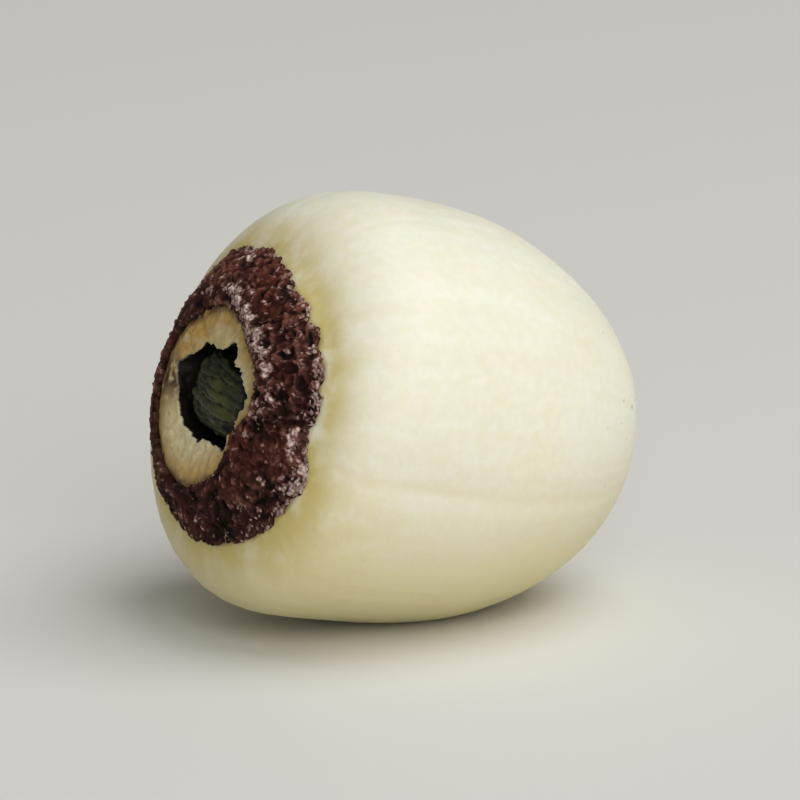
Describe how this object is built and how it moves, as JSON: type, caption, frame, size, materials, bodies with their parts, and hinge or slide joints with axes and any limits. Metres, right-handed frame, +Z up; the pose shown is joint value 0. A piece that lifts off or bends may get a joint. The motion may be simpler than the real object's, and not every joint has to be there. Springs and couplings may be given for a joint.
{
  "type": "lotus seed",
  "caption": "Dried, peeled lotus seed lying on its side: a plump cream kernel with a torn mouth, a rough dark ring of seed coat round it, and the green plumule inside.",
  "frame": {"origin": "on the surface that the seed rests on, under the middle of its bounding box", "axes": "+Z up; the seed's long axis lies along X with the mouth towards -X, raised by 12.5 degrees"},
  "size_m": [0.0152, 0.013, 0.0132],
  "materials": {
    "kernel_flesh": "smooth dry cream flesh, matte to satin",
    "seed_coat": "rough, flaky, dark purple-brown",
    "plumule_leaf": "wrinkled, dried, dark green"
  },
  "bodies": {
    "root": {"kernel": "kernel_flesh", "seed_coat_ring": "seed_coat", "plumule": "plumule_leaf"}
  },
  "joints": []
}
